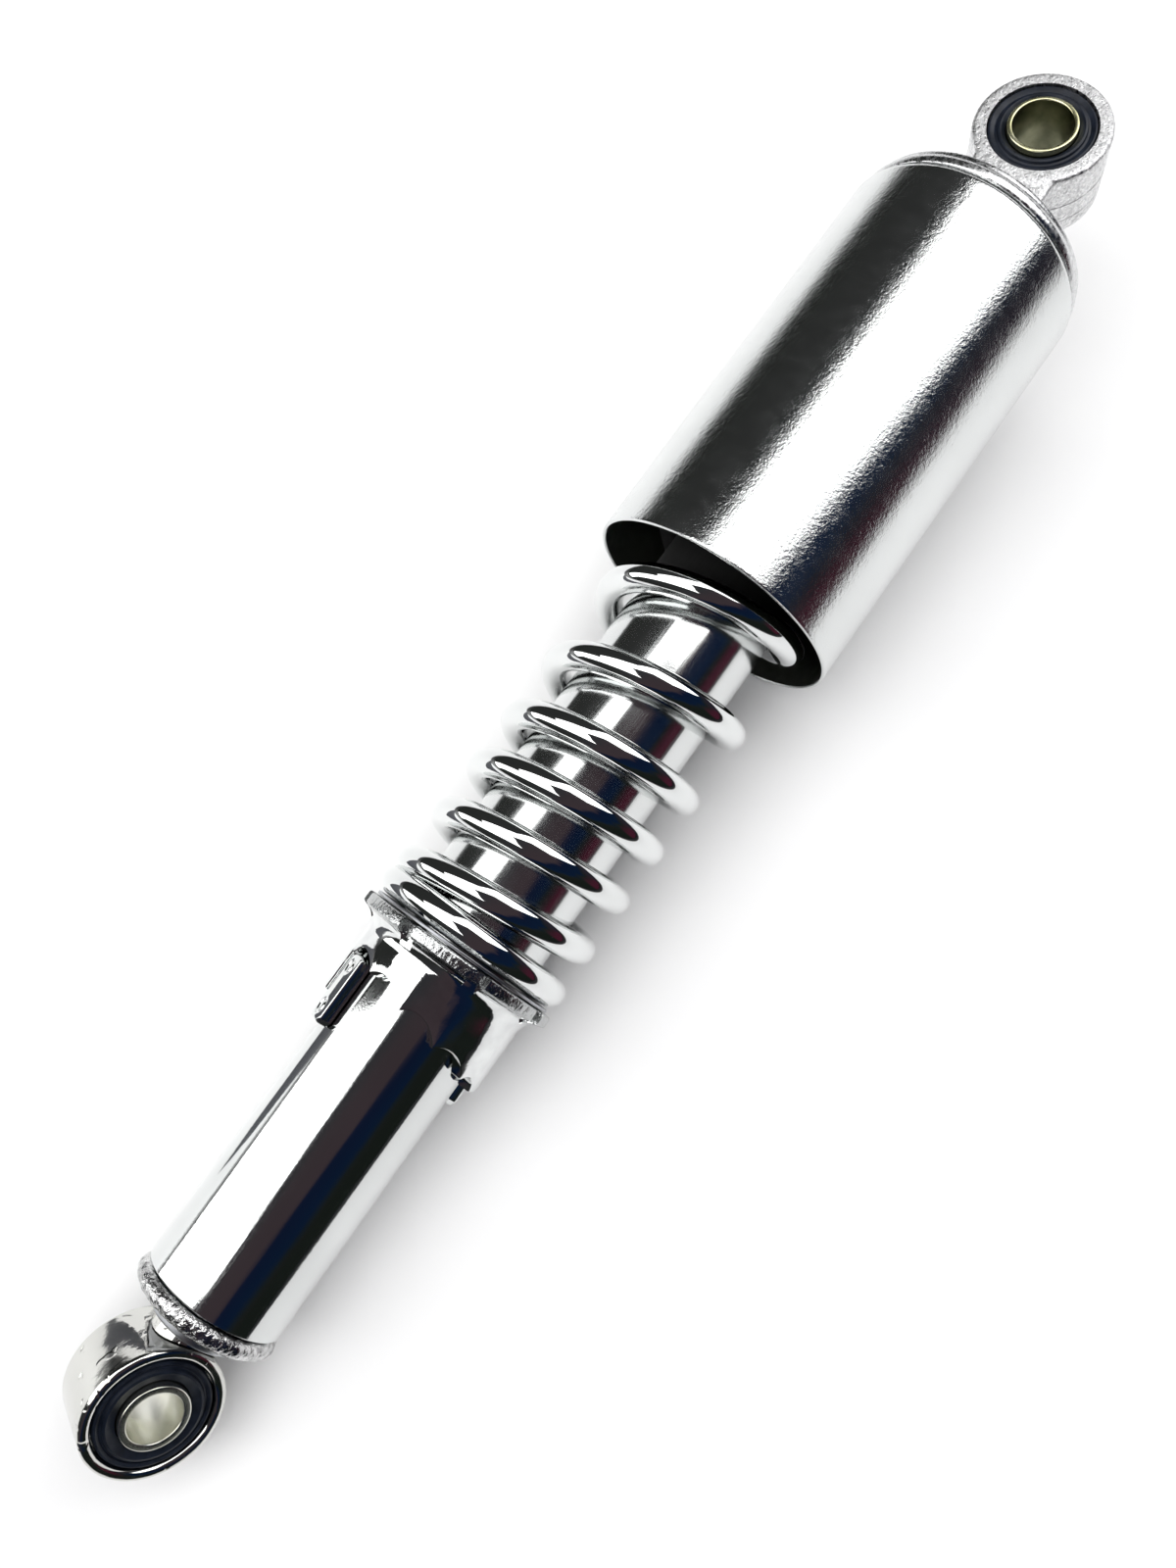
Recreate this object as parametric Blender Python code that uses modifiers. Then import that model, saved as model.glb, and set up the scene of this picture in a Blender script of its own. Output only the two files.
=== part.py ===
"""Rear shock absorber for a small motorcycle: a coil spring over an oil damper, with an eye at each end.

The model is built in its own axes, with z along the shock from the lower eye to the upper eye, and theta
measured about z from the x side. The empty shock_frame turns them into the world: z lies along world +X and
the theta = ROLL side faces world +Z. Sizes are in metres.
"""

from math import cos, degrees, pi, radians, sin

import bmesh
import bpy
from mathutils import Matrix, Quaternion

MM = 0.001
GAP = 0.3 * MM

# Driving sizes
EYE_TO_EYE = 320 * MM
ROLL = radians(-8.8)
TUBE_RADIUS = 14.8 * MM
TUBE_WALL = 1.2 * MM
TUBE_BOTTOM = 21.6 * MM
TUBE_TOP = 204 * MM
ROD_RADIUS = 5 * MM
CYLINDER_RADIUS = 10 * MM

LOWER_EYE_RADIUS = 13.4 * MM
LOWER_EYE_WALL = 2.3 * MM
LOWER_EYE_WIDTH = 15 * MM
LOWER_EYE_THETA = radians(34.7)
LOWER_SLEEVE_RADIUS = 6.6 * MM
LOWER_BORE_RADIUS = 5.1 * MM
LOWER_SLEEVE_LENGTH = 16.4 * MM

UPPER_EYE_RADIUS = 15.2 * MM
UPPER_EYE_WALL = 3.2 * MM
UPPER_EYE_WIDTH = 17.4 * MM
UPPER_EYE_THETA = radians(-17.9)
UPPER_SLEEVE_RADIUS = 7.65 * MM
UPPER_BORE_RADIUS = 6.6 * MM
UPPER_SLEEVE_LENGTH = 18.9 * MM

COVER_RADIUS = 28 * MM
COVER_WALL = 0.8 * MM
COVER_MOUTH = 189 * MM
COVER_TOP = 286.4 * MM
COVER_CORNER = 2 * MM
BOSS_RADIUS = 7.6 * MM
BOSS_BOTTOM = 281 * MM

COLLAR_INNER = 15.2 * MM
COLLAR_RADIUS = 18.3 * MM
COLLAR_TOP = 100.2 * MM
COLLAR_BOTTOM = 79.9 * MM
FLANGE_RADIUS = 22.1 * MM
FLANGE_THICKNESS = 2.4 * MM
FLANGE_NOTCHES = 8
FLANGE_NOTCH_THETA = radians(15.3)
LUG_THETA = radians(-63)
LUG_HALF_WIDTH = radians(8.7)
LUG_BOTTOM = 74.2 * MM
LUG_TOP = 89.1 * MM
LUG_RADIUS = 17.8 * MM

# The cam's edge has five hollows, one for each preload. Each is (turn in degrees past the lug, height in mm
# of the edge) at its start and its end, and the rise in mm of its arch over the line between them.
HOLLOWS = [
    ((-10.5, 88.5), (22.5, 87.8), 2.4),
    ((22.5, 87.8), (52.5, 85.6), 2.2),
    ((52.5, 85.6), (82.5, 83.4), 2.4),
    ((82.5, 83.4), (112.5, 81.2), 2.3),
    ((112.5, 81.2), (130.5, 79.9), 1.8),
]

WASHER_THICKNESS = 0.6 * MM
SEAT_TOP = 284 * MM
SEAT_THICKNESS = 1.6 * MM

WIRE_RADIUS = 3.1 * MM
SPRING_RADIUS = 19 * MM
SPRING_START = -0.42
SPRING_TURNS = 10.9
CLOSED_TURNS = 0.4
CLOSE_PITCH = 12.1 * MM
CLOSE_PITCH_END = 4.0
OPEN_PITCH_START = 6.9
POINTS_PER_TURN = 18

STROKE = 50 * MM
BUMP_STOP_TOP = 272.7 * MM
BUMP_STOP_LENGTH = 14.5 * MM
PISTON_TOP = 171.5 * MM
PISTON_LENGTH = 8.2 * MM

CHROME = (0.72, 0.73, 0.75)


def clear_scene():
    for obj in list(bpy.data.objects):
        bpy.data.objects.remove(obj, do_unlink=True)


def new_collection(name):
    collection = bpy.data.collections.new(name)
    bpy.context.scene.collection.children.link(collection)
    return collection


def new_frame():
    """The empty that lays the shock's own z axis along world +X, rolled as it comes to rest on a table."""
    frame = bpy.data.objects.new("shock_frame", None)
    frame.empty_display_size = 0.05
    frame.rotation_mode = "QUATERNION"
    frame.rotation_quaternion = Quaternion((0, 0.5**0.5, 0, 0.5**0.5)) @ Quaternion((0, 0, 1), -ROLL)
    PARTS.objects.link(frame)
    return frame


def new_material(name, colour, roughness, metallic):
    material = bpy.data.materials.new(name)
    material.use_nodes = True
    shader = material.node_tree.nodes["Principled BSDF"]
    shader.inputs["Base Color"].default_value = (*colour, 1)
    shader.inputs["Roughness"].default_value = roughness
    shader.inputs["Metallic"].default_value = metallic
    return material


def add_object(name, data, material=None, placement=None):
    """A named sub-part when it has a material, and otherwise a cutter, which is hidden from renders."""
    obj = bpy.data.objects.new(name, data)
    obj.parent = FRAME
    if placement:
        obj.matrix_local = placement
    if material:
        data.materials.append(material)
        PARTS.objects.link(obj)
    else:
        CUTTERS.objects.link(obj)
        obj.hide_render = True
        obj.display_type = "WIRE"
    return obj


def turned(name, profile, material=None, closed=False, segments=48, placement=None):
    """A turned shape. The (radius, z) profile runs down its outer side; a closed one makes a ring."""
    mesh = bpy.data.meshes.new(name)
    points = [(radius, 0, z) for radius, z in profile]
    edges = [(i, i + 1) for i in range(len(points) - 1)]
    if closed:
        edges.append((len(points) - 1, 0))
    mesh.from_pydata(points, edges, [])
    obj = add_object(name, mesh, material, placement)
    screw = obj.modifiers.new("turn", "SCREW")
    screw.steps = segments
    screw.render_steps = segments
    screw.use_merge_vertices = True
    screw.merge_threshold = 0.00001
    screw.use_smooth_shade = True
    return obj


def ring(name, inner, outer, bottom, top, material=None, chamfer=0.0, **options):
    """A turned ring of rectangular section, with its four edges chamfered."""
    profile = [
        (outer, top - chamfer),
        (outer, bottom + chamfer),
        (outer - chamfer, bottom),
        (inner + chamfer, bottom),
        (inner, bottom + chamfer),
        (inner, top - chamfer),
        (inner + chamfer, top),
        (outer - chamfer, top),
    ]
    if not chamfer:
        profile = [(outer, top), (outer, bottom), (inner, bottom), (inner, top)]
    return turned(name, profile, material, closed=True, **options)


def swept(name, angles, section, material, whole=False):
    """A shape swept round the axis through sections that may differ, either whole or with flat ends."""
    points = []
    for theta in angles:
        points += [(radius * cos(theta), radius * sin(theta), z) for radius, z in section(theta)]
    count = len(section(angles[0]))
    faces = []
    pairs = [(i, i + 1) for i in range(len(angles) - 1)]
    if whole:
        pairs.append((len(angles) - 1, 0))
    else:
        faces.append([*range(count)][::-1])
        faces.append([(len(angles) - 1) * count + i for i in range(count)])
    for first, second in pairs:
        for i in range(count):
            j = (i + 1) % count
            faces.append([first * count + i, first * count + j, second * count + j, second * count + i])
    mesh = bpy.data.meshes.new(name)
    mesh.from_pydata(points, [], faces)
    shape = bmesh.new()
    shape.from_mesh(mesh)
    bmesh.ops.recalc_face_normals(shape, faces=shape.faces)
    shape.to_mesh(mesh)
    shape.free()
    return add_object(name, mesh, material)


def rod(name, radius, bottom, top, material=None, **options):
    """A plain turned cylinder."""
    return turned(name, [(0, top), (radius, top), (radius, bottom), (0, bottom)], material, **options)


def block(name, size, centre, rotation, material=None):
    """A box of the given size, turned by rotation about z."""
    mesh = bpy.data.meshes.new(name)
    shape = bmesh.new()
    bmesh.ops.create_cube(shape, size=1)
    bmesh.ops.scale(shape, vec=size, verts=shape.verts)
    shape.to_mesh(mesh)
    shape.free()
    placement = Matrix.Rotation(rotation, 4, "Z") @ Matrix.Translation(centre)
    return add_object(name, mesh, material, placement)


def hexagon(name, across_flats, bottom, top, material):
    """A hexagonal prism on the shock's axis."""
    mesh = bpy.data.meshes.new(name)
    shape = bmesh.new()
    radius = across_flats / 2 / cos(pi / 6)
    bmesh.ops.create_cone(
        shape, cap_ends=True, segments=6, radius1=radius, radius2=radius, depth=top - bottom
    )
    shape.to_mesh(mesh)
    shape.free()
    return add_object(name, mesh, material, Matrix.Translation((0, 0, (bottom + top) / 2)))


def combine(obj, other, operation):
    """Cuts obj with another object, joins it on or keeps what they share."""
    boolean = obj.modifiers.new(other.name, "BOOLEAN")
    boolean.operation = operation
    boolean.solver = "EXACT"
    boolean.object = other


def bevel(obj, width, segments=2):
    modifier = obj.modifiers.new("edges", "BEVEL")
    modifier.width = width
    modifier.segments = segments
    modifier.limit_method = "ANGLE"
    modifier.angle_limit = radians(40)


def arc(centre, radius, start, end, steps):
    """Points on an arc in the (radius, z) plane, with its angles in degrees from the radius direction."""
    angles = [radians(start + (end - start) * i / steps) for i in range(steps + 1)]
    return [(centre[0] + radius * cos(a), centre[1] + radius * sin(a)) for a in angles]


def across(theta, z):
    """Places a turned shape with its own axis across the shock, pointing at theta, centred at height z."""
    turn = Matrix.Rotation(theta, 4, "Z") @ Matrix.Rotation(pi / 2, 4, "Y")
    return Matrix.Translation((0, 0, z)) @ turn


# Lower eye


def build_lower_eye():
    eye = across(LOWER_EYE_THETA, 0)
    half = LOWER_EYE_WIDTH / 2
    inner = LOWER_EYE_RADIUS - LOWER_EYE_WALL
    ring("lower_eye_ring", inner, LOWER_EYE_RADIUS, -half, half, STEEL_CHROME, 0.6 * MM, placement=eye)
    build_bush("lower", inner, LOWER_SLEEVE_RADIUS, half - 0.4 * MM, RUBBER, eye)
    half = LOWER_SLEEVE_LENGTH / 2
    bore = LOWER_BORE_RADIUS
    ring("lower_bush_sleeve", bore, LOWER_SLEEVE_RADIUS, -half, half, ZINC, 0.35 * MM, placement=eye)


def build_bush(end, outer, inner, half, material, placement):
    """A rubber bush with a moulded ridge round each face, a gap clear of the ring and the sleeve."""
    outer -= GAP
    inner += GAP
    ridge = (outer + inner) / 2
    width = 0.9 * MM
    rise = 0.6 * MM
    face = [(ridge + width, half), (ridge + width / 2, half + rise), (ridge - width / 2, half + rise)]
    face.append((ridge - width, half))
    back = [(radius, -z) for radius, z in reversed(face)]
    top = [(inner, half), *reversed(face), (outer, half)]
    bottom = [(outer, -half), *reversed(back), (inner, -half)]
    profile = [*top[::-1][:1], *bottom, *top[:-1]]
    turned(end + "_bush_rubber", profile, material, closed=True, segments=40, placement=placement)


def build_eye_weld():
    """The weld that fills the space between the lower eye ring and the bottom cap."""
    weld = rod("lower_eye_weld", 7.2 * MM, 10.5 * MM, 14.0 * MM, WELD, segments=32)
    clear = LOWER_EYE_RADIUS + GAP
    cutter = rod("lower_eye_space", clear, -20 * MM, 20 * MM, placement=across(LOWER_EYE_THETA, 0))
    combine(weld, cutter, "DIFFERENCE")


# Damper body


def build_bottom_cap():
    boss = 9.4 * MM
    spigot = 12.3 * MM
    profile = [
        (0, 24 * MM),
        (spigot, 24 * MM),
        (spigot, 17.6 * MM),
        (spigot - 0.5 * MM, 17.1 * MM),
        (boss + 0.6 * MM, 16.9 * MM),
        (boss, 16.3 * MM),
        (boss - 0.2 * MM, 14.8 * MM),
        (boss - 0.8 * MM, 14.3 * MM),
        (0, 14.3 * MM),
    ]
    turned("bottom_cap", profile, STEEL_CHROME)


def build_end_weld():
    """The weld bead that closes the tube's lower end onto the cap."""
    bottom = 17.1 * MM
    top = TUBE_BOTTOM - GAP
    middle = (top + bottom) / 2
    inner = 12.3 * MM + GAP
    bulge = arc((TUBE_RADIUS - 1.6 * MM, middle), (top - bottom) / 2, 80, -80, 6)
    turned("end_weld", [(inner, top), *bulge, (inner, bottom)], WELD, closed=True)


def build_body_tube():
    ring("body_tube", TUBE_RADIUS - TUBE_WALL, TUBE_RADIUS, TUBE_BOTTOM, TUBE_TOP, BODY_CHROME, 0.3 * MM)


def build_lugs():
    """The two lugs on the tube that carry the cam of the preload collar, with rounded tops."""
    inner = TUBE_RADIUS + GAP
    middle = (LUG_TOP + LUG_BOTTOM) / 2
    for name, centre in (("cam_lug_a", LUG_THETA), ("cam_lug_b", LUG_THETA + pi)):

        def section(theta):
            across_top = (theta - centre) / LUG_HALF_WIDTH
            top = LUG_TOP - 0.75 * MM * abs(across_top - 0.1) ** 2.5
            bottom = LUG_BOTTOM + 1.2 * MM * max(0, abs(across_top) - 0.6) / 0.4
            edge = 0.5 * MM
            return [
                (LUG_RADIUS - edge, top),
                (LUG_RADIUS, top - edge),
                (LUG_RADIUS, middle),
                (LUG_RADIUS, bottom + edge),
                (LUG_RADIUS - edge, bottom),
                (inner, bottom),
                (inner, middle),
                (inner, top),
            ]

        steps = [-1, -0.9, -0.75, -0.6, -0.4, -0.2, 0, 0.2, 0.4, 0.6, 0.75, 0.9, 1]
        swept(name, [centre + LUG_HALF_WIDTH * step for step in steps], section, STEEL_CHROME)


def build_oil_parts():
    """What the damper body holds: the inner cylinder, its foot valve, and the closure at the top."""
    inner = TUBE_RADIUS - TUBE_WALL - GAP
    wall = 1.2 * MM
    foot = 24.3 * MM
    seat = 31 * MM
    top = 193 * MM
    outer = CYLINDER_RADIUS + wall
    ring("inner_cylinder", CYLINDER_RADIUS, outer, seat + GAP, top, PLAIN_STEEL, segments=40)
    spigot = CYLINDER_RADIUS - GAP
    valve = turned(
        "foot_valve",
        [
            (0, seat + 4 * MM),
            (spigot, seat + 4 * MM),
            (spigot, seat),
            (outer, seat),
            (outer, foot + 2 * MM),
            (outer - 2 * MM, foot),
            (0, foot),
        ],
        PLAIN_STEEL,
        segments=40,
    )
    for turn in range(4):
        theta = pi / 2 * turn
        place = Matrix.Translation((6 * MM * cos(theta), 6 * MM * sin(theta), 0))
        port = rod(f"foot_port_{turn}", 1.1 * MM, foot - MM, seat + 5 * MM, segments=12, placement=place)
        combine(valve, port, "DIFFERENCE")
    clear = ROD_RADIUS + GAP
    guide_top = 200.4 * MM
    turned(
        "rod_guide",
        [
            (inner, guide_top),
            (inner, top + 0.4 * MM),
            (CYLINDER_RADIUS - GAP, top + 0.4 * MM),
            (CYLINDER_RADIUS - GAP, top - 3 * MM),
            (clear, top - 3 * MM),
            (clear, guide_top),
        ],
        PLAIN_STEEL,
        closed=True,
        segments=40,
    )
    ring("oil_seal", clear, inner, guide_top + GAP, TUBE_TOP - 0.5 * MM, RUBBER, segments=40)
    cap_bottom = TUBE_TOP + GAP
    cap_top = cap_bottom + 2 * MM
    ring("seal_cap", clear + 0.5 * MM, TUBE_RADIUS - 0.2 * MM, cap_bottom, cap_top, BODY_CHROME, 0.5 * MM)


# Preload collar


def cam_edge(turn):
    """The height of the collar's lower edge at this turn past a lug. Its two halves are alike."""
    turn = (degrees(turn) + 30) % 180 - 30
    for (start, low), (end, high), rise in HOLLOWS:
        if start <= turn <= end:
            share = (turn - start) / (end - start)
            return MM * (low + (high - low) * share + rise * (1 - abs(2 * share - 1) ** 2.2))
    return COLLAR_BOTTOM


def collar_angles():
    """The angles of the collar's sections: along each hollow of its edge, and across the low stretch."""
    turns = [140, 150, 160, 169.2]
    for (start, _), (end, _), _ in HOLLOWS:
        count = 12 if end - start > 20 else 8
        turns += [start + (end - start) * i / count for i in range(count)]
    turns.append(HOLLOWS[-1][1][0])
    turns.sort()
    return [LUG_THETA + radians(turn + half) for half in (0, 180) for turn in turns]


def build_collar():
    flange_bottom = COLLAR_TOP - FLANGE_THICKNESS
    flare = arc((FLANGE_RADIUS - 0.1 * MM, flange_bottom - 3.8 * MM), 3.8 * MM, 90, 180, 4)

    def section(theta):
        edge = cam_edge(theta - LUG_THETA)
        return [
            (FLANGE_RADIUS - 0.3 * MM, COLLAR_TOP),
            (FLANGE_RADIUS, COLLAR_TOP - 0.3 * MM),
            (FLANGE_RADIUS, flange_bottom),
            *flare[1:],
            (COLLAR_RADIUS, edge + 0.3 * MM),
            (COLLAR_RADIUS - 0.3 * MM, edge),
            (COLLAR_INNER + 0.3 * MM, edge),
            (COLLAR_INNER, edge + 0.3 * MM),
            (COLLAR_INNER, COLLAR_TOP - 0.4 * MM),
            (COLLAR_INNER + 0.4 * MM, COLLAR_TOP),
        ]

    collar = swept("preload_collar", collar_angles(), section, COLLAR_CHROME, whole=True)
    depth = 2.9 * MM
    for number in range(FLANGE_NOTCHES):
        theta = FLANGE_NOTCH_THETA + 2 * pi * number / FLANGE_NOTCHES
        size = (2 * depth, 3.4 * MM, 8 * MM)
        notch = block(f"flange_notch_{number}", size, (FLANGE_RADIUS, 0, COLLAR_TOP), theta)
        combine(collar, notch, "DIFFERENCE")


def build_lower_seat():
    bottom = COLLAR_TOP + GAP
    ring("lower_spring_seat", COLLAR_INNER, 20.6 * MM, bottom, bottom + WASHER_THICKNESS, PLAIN_STEEL)


# Spring


def spring_pitch(turn, end, open_pitch):
    """The rise a turn at this point of the spring: flat end coils, close coils below and open ones above."""
    if turn < CLOSED_TURNS or turn > end - CLOSED_TURNS:
        return 0.0
    share = min(1, max(0, (turn - CLOSE_PITCH_END) / (OPEN_PITCH_START - CLOSE_PITCH_END)))
    pitch = CLOSE_PITCH + (open_pitch - CLOSE_PITCH) * share
    ramp = 0.45
    return pitch * min(1, (turn - CLOSED_TURNS) / ramp, (end - CLOSED_TURNS - turn) / ramp)


def spring_points():
    """The wire's centre line. The open pitch is whatever makes it reach from seat to seat."""
    bottom = COLLAR_TOP + 2 * GAP + WASHER_THICKNESS + WIRE_RADIUS
    top = SEAT_TOP - SEAT_THICKNESS - GAP - WIRE_RADIUS
    end = SPRING_START + SPRING_TURNS
    count = round(SPRING_TURNS * POINTS_PER_TURN)
    turns = [SPRING_START + SPRING_TURNS * i / count for i in range(count + 1)]
    step = SPRING_TURNS / count

    def rise(open_pitch):
        return sum(spring_pitch(turn + step / 2, end, open_pitch) * step for turn in turns[:-1])

    gain = rise(1) - rise(0)
    open_pitch = (top - bottom - rise(0)) / gain
    points = []
    z = bottom
    for turn in turns:
        theta = 2 * pi * turn - pi / 2
        points.append((SPRING_RADIUS * cos(theta), SPRING_RADIUS * sin(theta), z))
        z += spring_pitch(turn + step / 2, end, open_pitch) * step
    return points


def build_spring():
    curve = bpy.data.curves.new("main_spring", "CURVE")
    curve.dimensions = "3D"
    curve.bevel_depth = WIRE_RADIUS
    curve.bevel_resolution = 2
    curve.use_fill_caps = True
    points = spring_points()
    spline = curve.splines.new("POLY")
    spline.points.add(len(points) - 1)
    for point, place in zip(spline.points, points):
        point.co = (*place, 1)
    add_object("main_spring", curve, SPRING_CHROME)


# Upper end


def build_upper_seat():
    inner = BOSS_RADIUS + GAP
    bottom = SEAT_TOP - SEAT_THICKNESS
    lip = 15.4 * MM
    profile = [
        (22 * MM, SEAT_TOP),
        (22 * MM, bottom),
        (lip, bottom),
        (lip - 0.8 * MM, bottom - 2.5 * MM),
        (lip - 2.4 * MM, bottom - 2.5 * MM),
        (lip - 3.2 * MM, bottom),
        (inner, bottom),
        (inner, SEAT_TOP),
    ]
    turned("upper_spring_seat", profile, PLAIN_STEEL, closed=True)


def build_cover():
    inner = COVER_RADIUS - COVER_WALL
    centre = (COVER_RADIUS - COVER_CORNER, COVER_TOP - COVER_CORNER)
    outside = arc(centre, COVER_CORNER, 90, 0, 3)
    inside = arc(centre, COVER_CORNER - COVER_WALL, 0, 90, 3)
    hole = BOSS_RADIUS + GAP
    profile = [
        (hole, COVER_TOP),
        *outside,
        (COVER_RADIUS, COVER_MOUTH),
        (inner, COVER_MOUTH),
        *inside,
        (hole, COVER_TOP - COVER_WALL),
    ]
    turned("cover", profile, COVER_CHROME, closed=True, segments=64)


def build_upper_eye():
    """The cast eye with its stepped flange, and the boss that takes the rod."""
    flange_bottom = COVER_TOP + GAP
    flange_top = flange_bottom + 4.8 * MM
    step = flange_bottom + 2.4 * MM
    outer = COVER_RADIUS - 0.8 * MM
    profile = [
        (0, flange_top),
        (outer - 1.2 * MM, flange_top),
        (outer - 0.5 * MM, flange_top - 0.7 * MM),
        (outer - 0.4 * MM, step),
        (outer, step - 0.2 * MM),
        (outer, flange_bottom),
        (BOSS_RADIUS, flange_bottom),
        (BOSS_RADIUS, BOSS_BOTTOM),
        (0, BOSS_BOTTOM),
    ]
    casting = turned("upper_eye", profile, CAST, segments=64)
    half = UPPER_EYE_WIDTH / 2
    place = across(UPPER_EYE_THETA, EYE_TO_EYE)
    neck_height = EYE_TO_EYE - flange_top
    neck = block(
        "eye_neck",
        (UPPER_EYE_WIDTH - 0.1 * MM, 20 * MM, neck_height),
        (0, 0, flange_top + neck_height / 2 - 0.5 * MM),
        UPPER_EYE_THETA,
    )
    combine(casting, neck, "UNION")
    outside = [(0, half), (UPPER_EYE_RADIUS - 0.6 * MM, half), (UPPER_EYE_RADIUS, half - 0.6 * MM)]
    mirrored = [(radius, -z) for radius, z in reversed(outside)]
    drum = turned("eye_drum", [*outside, *mirrored], placement=place)
    combine(casting, drum, "UNION")
    bore = rod("eye_bore", UPPER_EYE_RADIUS - UPPER_EYE_WALL, -20 * MM, 20 * MM, placement=place)
    combine(casting, bore, "DIFFERENCE")
    socket = rod("rod_socket", ROD_RADIUS + GAP, BOSS_BOTTOM - MM, 299.4 * MM, segments=32)
    combine(casting, socket, "DIFFERENCE")
    inner = UPPER_EYE_RADIUS - UPPER_EYE_WALL
    build_bush("upper", inner, UPPER_SLEEVE_RADIUS, half - 0.3 * MM, RUBBER, place)
    half = UPPER_SLEEVE_LENGTH / 2
    bore = UPPER_BORE_RADIUS
    ring("upper_bush_sleeve", bore, UPPER_SLEEVE_RADIUS, -half, half, GOLD_ZINC, 0.3 * MM, placement=place)


# Rod and piston


def build_rod():
    shank = 3.5 * MM
    shoulder = PISTON_TOP + GAP
    bottom = PISTON_TOP - PISTON_LENGTH - 5.8 * MM
    profile = [
        (0, 299 * MM),
        (ROD_RADIUS - 0.6 * MM, 299 * MM),
        (ROD_RADIUS, 298.4 * MM),
        (ROD_RADIUS, shoulder),
        (shank, shoulder),
        (shank, bottom),
        (0, bottom),
    ]
    turned("piston_rod", profile, ROD_CHROME, segments=32)


def build_piston():
    bottom = PISTON_TOP - PISTON_LENGTH
    middle = PISTON_TOP - PISTON_LENGTH / 2
    radius = CYLINDER_RADIUS - GAP
    groove = radius - 1.1 * MM
    hole = 3.5 * MM + GAP
    half = 1.5 * MM
    profile = [
        (radius, PISTON_TOP),
        (radius, middle + half),
        (groove, middle + half),
        (groove, middle - half),
        (radius, middle - half),
        (radius, bottom),
        (hole, bottom),
        (hole, PISTON_TOP),
    ]
    piston = turned("piston", profile, PLAIN_STEEL, closed=True, segments=40)
    for turn in range(4):
        theta = pi / 2 * turn
        place = Matrix.Translation((6.3 * MM * cos(theta), 6.3 * MM * sin(theta), 0))
        port = rod(f"piston_port_{turn}", MM, bottom - MM, PISTON_TOP + MM, segments=12, placement=place)
        combine(piston, port, "DIFFERENCE")
    low = middle - half + GAP
    high = middle + half - GAP
    ring("piston_ring", groove + GAP, radius + 0.1 * MM, low, high, BRONZE, segments=40)
    nut = hexagon("piston_nut", 11 * MM, bottom - GAP - 4.5 * MM, bottom - GAP, PLAIN_STEEL)
    bore = rod("piston_nut_bore", hole, bottom - 10 * MM, bottom + 5 * MM, segments=24)
    combine(nut, bore, "DIFFERENCE")
    low = PISTON_TOP + GAP
    ring("check_plate", ROD_RADIUS + GAP, 8.8 * MM, low, low + 0.6 * MM, PLAIN_STEEL, segments=40)


def build_rod_parts():
    """The stops on the rod and the nut that locks it in the eye's boss."""
    clear = ROD_RADIUS + GAP
    low = PISTON_TOP + 2 * GAP + 0.9 * MM
    ring("rebound_stop", clear, 8 * MM, low, 189.7 * MM, PLAIN_STEEL, 0.6 * MM, segments=32)
    bottom = BUMP_STOP_TOP - BUMP_STOP_LENGTH
    waist = bottom + BUMP_STOP_LENGTH * 0.55
    profile = [
        (10.5 * MM, BUMP_STOP_TOP),
        (11.5 * MM, BUMP_STOP_TOP - 2 * MM),
        (11.5 * MM, waist + 1.6 * MM),
        (9.2 * MM, waist),
        (10.4 * MM, waist - 1.6 * MM),
        (9.6 * MM, bottom + 1.5 * MM),
        (8.2 * MM, bottom),
        (clear, bottom),
        (clear, BUMP_STOP_TOP),
    ]
    turned("bump_stop", profile, RUBBER, closed=True, segments=36)
    low = BUMP_STOP_TOP + GAP
    high = BOSS_BOTTOM - GAP
    nut = hexagon("rod_lock_nut", 17 * MM, low, high, PLAIN_STEEL)
    bore = rod("lock_nut_bore", clear, low - MM, high + MM, segments=32)
    combine(nut, bore, "DIFFERENCE")


clear_scene()
PARTS = new_collection("rear_shock_absorber")
CUTTERS = new_collection("cutters")
FRAME = new_frame()
STEEL_CHROME = new_material("steel_chrome", CHROME, 0.16, 1)
BODY_CHROME = new_material("body_chrome", CHROME, 0.1, 1)
COLLAR_CHROME = new_material("collar_chrome", CHROME, 0.12, 1)
SPRING_CHROME = new_material("spring_chrome", CHROME, 0.05, 1)
COVER_CHROME = new_material("cover_chrome", CHROME, 0.14, 1)
ROD_CHROME = new_material("rod_chrome", CHROME, 0.08, 1)
WELD = new_material("weld_metal", (0.5, 0.5, 0.52), 0.35, 1)
CAST = new_material("cast_aluminium", (0.62, 0.62, 0.62), 0.5, 1)
ZINC = new_material("zinc_steel", (0.55, 0.55, 0.5), 0.3, 1)
GOLD_ZINC = new_material("gold_zinc_steel", (0.62, 0.58, 0.36), 0.28, 1)
PLAIN_STEEL = new_material("plain_steel", (0.4, 0.41, 0.43), 0.4, 1)
BRONZE = new_material("ring_bronze", (0.55, 0.38, 0.2), 0.35, 1)
RUBBER = new_material("black_rubber", (0.02, 0.022, 0.026), 0.5, 0)

build_lower_eye()
build_eye_weld()
build_bottom_cap()
build_end_weld()
build_body_tube()
build_lugs()
build_oil_parts()
build_collar()
build_lower_seat()
build_spring()
build_upper_seat()
build_cover()
build_upper_eye()
build_rod()
build_piston()
build_rod_parts()
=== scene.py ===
"""Looks for the rear shock absorber: fine meshes, procedural materials, floor, light and camera.

Most pieces are modelled in the shock's own axes, as in the CAD: z along the shock from the lower eye to the
upper eye, and theta about z. Their profiles are in millimetres until in_mm or MM makes them metres, and LAY
turns them into the row frame.
"""

from math import cos, degrees, pi, radians, sin

import bmesh
import bpy
from mathutils import Matrix, Quaternion, Vector


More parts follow.
